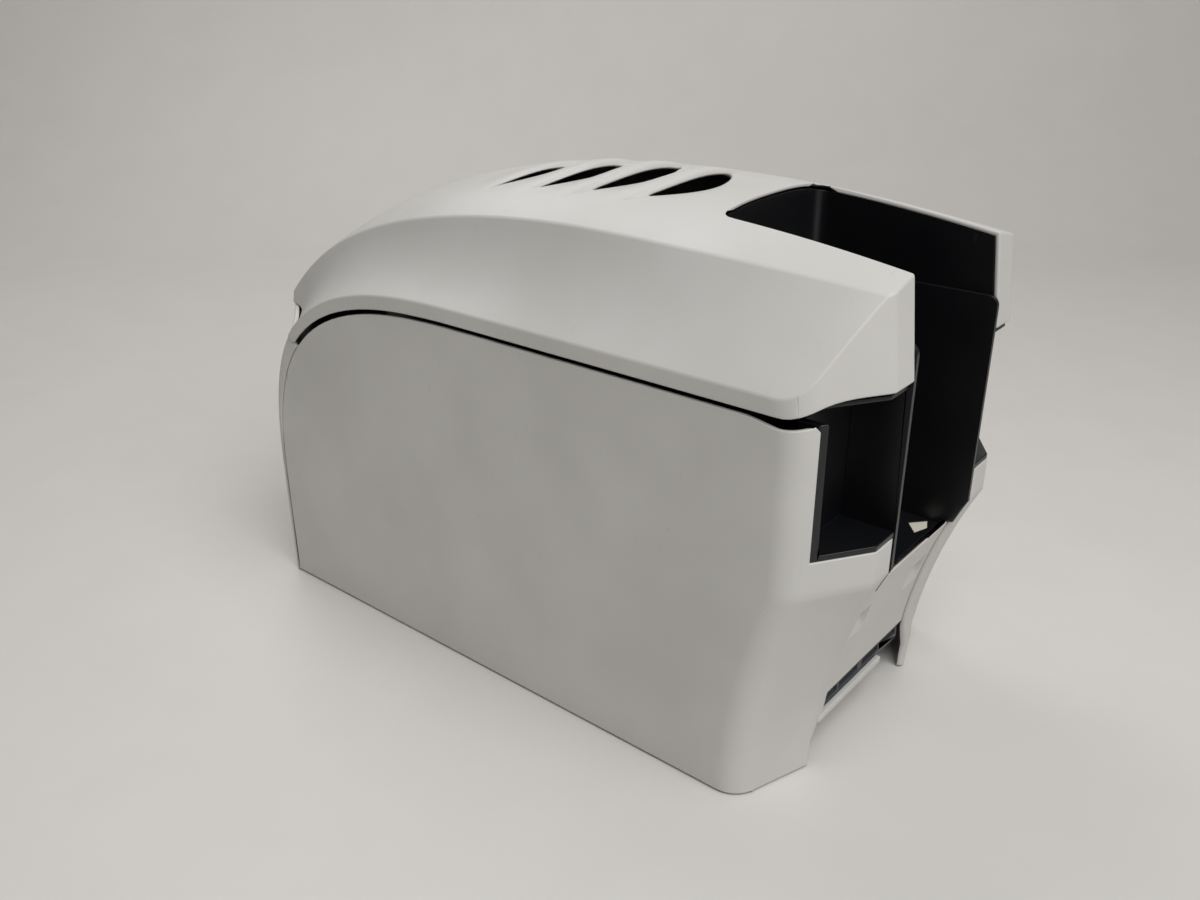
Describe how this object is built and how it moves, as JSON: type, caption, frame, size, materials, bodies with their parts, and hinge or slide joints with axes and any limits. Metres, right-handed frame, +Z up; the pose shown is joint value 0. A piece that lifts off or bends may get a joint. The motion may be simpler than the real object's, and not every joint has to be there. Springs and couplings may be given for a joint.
{
  "type": "id card printer",
  "caption": "Desktop card printer: open card hopper between two side pockets, hinged domed lid with louvres, drop-down front flap, roller and ribbon transport inside.",
  "frame": {"origin": "Centre of the bounding box in plan, on the surface the feet stand on", "axes": "-Y is the front with the card hopper, +Y the back with the hinge and sockets, +X the right side seen from the front, +Z up"},
  "size_m": [0.2064, 0.41, 0.2889],
  "materials": {
    "shell_plastic": "fine grained, light warm grey",
    "black_plastic": "satin black",
    "grey_plastic": "satin dark grey",
    "sheet_steel": "zinc plated",
    "roller_rubber": "ground rubber",
    "blue_rubber": "tacky silicone",
    "white_nylon": "natural nylon",
    "brass": "turned",
    "motor_black": "black coated",
    "ribbon_film": "thin dyed film",
    "circuit_board": "solder mask",
    "head_alloy": "extruded",
    "button_plastic": "moulded"
  },
  "bodies": {
    "base": {"base_tray": "grey_plastic", "rubber_feet": "roller_rubber", "left_cover": "shell_plastic", "right_cover": "shell_plastic", "rear_cover": "shell_plastic", "cover_screws": "sheet_steel", "front_bezel": "shell_plastic", "slit_frame": "grey_plastic", "hopper_walls": "black_plastic", "hopper_floor": "black_plastic", "left_pocket": "black_plastic", "right_pocket": "black_plastic", "card_bin": "black_plastic", "flap_pins": "sheet_steel", "left_frame": "sheet_steel", "right_frame": "sheet_steel", "tie_rods": "sheet_steel", "roller_bushes": "white_nylon", "idler_pins": "sheet_steel", "card_guides": "grey_plastic", "feed_motor": "motor_black", "ribbon_film": "ribbon_film", "film_bars": "sheet_steel", "ribbon_motor": "motor_black", "power_supply": "sheet_steel", "main_board": "circuit_board", "board_parts": "black_plastic", "socket_board": "circuit_board", "data_sockets": "sheet_steel", "power_inlet": "black_plastic", "fan_frame": "black_plastic", "hinge_brackets": "sheet_steel", "hinge_pins": "sheet_steel", "button_board": "circuit_board", "lid_sensor": "black_plastic", "lid_rests": "roller_rubber"},
    "lid": {"lid_shell": "shell_plastic", "lid_liner": "black_plastic", "lid_hinge_leaves": "sheet_steel", "head_bracket": "sheet_steel", "head_springs": "sheet_steel"},
    "head": {"print_head": "head_alloy"},
    "flap": {"front_flap": "shell_plastic"},
    "platen": {"platen_roller": "roller_rubber"},
    "pick": {"pick_roller": "roller_rubber"},
    "feed": {"feed_roller": "roller_rubber"},
    "exit": {"exit_roller": "roller_rubber"},
    "idler_a": {"pick_idler": "white_nylon"},
    "idler_b": {"feed_idler": "white_nylon"},
    "idler_c": {"exit_idler": "white_nylon"},
    "pinion": {"motor_pinion": "brass"},
    "cleaner": {"cleaning_roller": "blue_rubber"},
    "nip": {"pinch_roller": "roller_rubber"},
    "supply": {"supply_spool": "white_nylon", "supply_ribbon": "ribbon_film"},
    "takeup": {"takeup_spool": "white_nylon", "takeup_ribbon": "ribbon_film"},
    "fan": {"fan_rotor": "black_plastic"},
    "rocker": {"power_switch": "black_plastic"},
    "button": {"control_button": "button_plastic"}
  },
  "joints": [
    {"name": "lid_hinge", "type": "hinge", "parent": "base", "child": "lid", "pos_m": [0, 0.201, 0.184], "axis": [-1, 0, 0], "range_deg": [0, 65]},
    {"name": "head_float", "type": "slide", "parent": "lid", "child": "head", "axis": [0, 0, 1], "range_m": [0, 0.0015], "stiffness_N_per_m": 3000, "springref_m": -0.004, "deforming": ["head_springs"]},
    {"name": "flap_hinge", "type": "hinge", "parent": "base", "child": "flap", "pos_m": [0, -0.1704, 0.044], "axis": [1, 0, 0], "range_deg": [0, 70]},
    {"name": "platen_spin", "type": "hinge", "parent": "base", "child": "platen", "pos_m": [0, 0, 0.101], "axis": [1, 0, 0], "continuous": true},
    {"name": "pick_spin", "type": "hinge", "parent": "base", "child": "pick", "pos_m": [0, -0.12, 0.101], "axis": [1, 0, 0], "continuous": true},
    {"name": "feed_spin", "type": "hinge", "parent": "base", "child": "feed", "pos_m": [0, -0.06, 0.101], "axis": [1, 0, 0], "continuous": true},
    {"name": "exit_spin", "type": "hinge", "parent": "base", "child": "exit", "pos_m": [0, 0.06, 0.101], "axis": [1, 0, 0], "continuous": true},
    {"name": "idler_a_spin", "type": "hinge", "parent": "base", "child": "idler_a", "pos_m": [0, -0.09, 0.101], "axis": [1, 0, 0], "continuous": true},
    {"name": "idler_b_spin", "type": "hinge", "parent": "base", "child": "idler_b", "pos_m": [0, -0.03, 0.101], "axis": [1, 0, 0], "continuous": true},
    {"name": "idler_c_spin", "type": "hinge", "parent": "base", "child": "idler_c", "pos_m": [0, 0.03, 0.101], "axis": [1, 0, 0], "continuous": true},
    {"name": "pinion_spin", "type": "hinge", "parent": "base", "child": "pinion", "pos_m": [0, -0.03, 0.0785], "axis": [1, 0, 0], "continuous": true},
    {"name": "cleaner_spin", "type": "hinge", "parent": "base", "child": "cleaner", "pos_m": [0, -0.06, 0.1158], "axis": [1, 0, 0], "continuous": true},
    {"name": "nip_spin", "type": "hinge", "parent": "base", "child": "nip", "pos_m": [0, 0.06, 0.1158], "axis": [1, 0, 0], "continuous": true},
    {"name": "supply_spin", "type": "hinge", "parent": "base", "child": "supply", "pos_m": [0, 0.062, 0.159], "axis": [1, 0, 0], "continuous": true},
    {"name": "takeup_spin", "type": "hinge", "parent": "base", "child": "takeup", "pos_m": [0, -0.062, 0.159], "axis": [1, 0, 0], "continuous": true},
    {"name": "fan_spin", "type": "hinge", "parent": "base", "child": "fan", "pos_m": [0.052, 0.19, 0.062], "axis": [0, 1, 0], "continuous": true},
    {"name": "switch_rock", "type": "hinge", "parent": "base", "child": "rocker", "pos_m": [-0.062, 0.196, 0.074], "axis": [0, 0, 1], "range_deg": [-8, 8]},
    {"name": "button_press", "type": "slide", "parent": "base", "child": "button", "axis": [-1, 0, 0], "range_m": [0, 0.0012], "stiffness_N_per_m": 800, "springref_m": -0.0005}
  ],
  "couplings": [
    {"joint": "pick_spin", "follows": "platen_spin", "ratio": 1},
    {"joint": "feed_spin", "follows": "platen_spin", "ratio": 1},
    {"joint": "exit_spin", "follows": "platen_spin", "ratio": 1},
    {"joint": "idler_a_spin", "follows": "platen_spin", "ratio": -1},
    {"joint": "idler_b_spin", "follows": "platen_spin", "ratio": -1},
    {"joint": "idler_c_spin", "follows": "platen_spin", "ratio": -1},
    {"joint": "pinion_spin", "follows": "platen_spin", "ratio": 2}
  ]
}
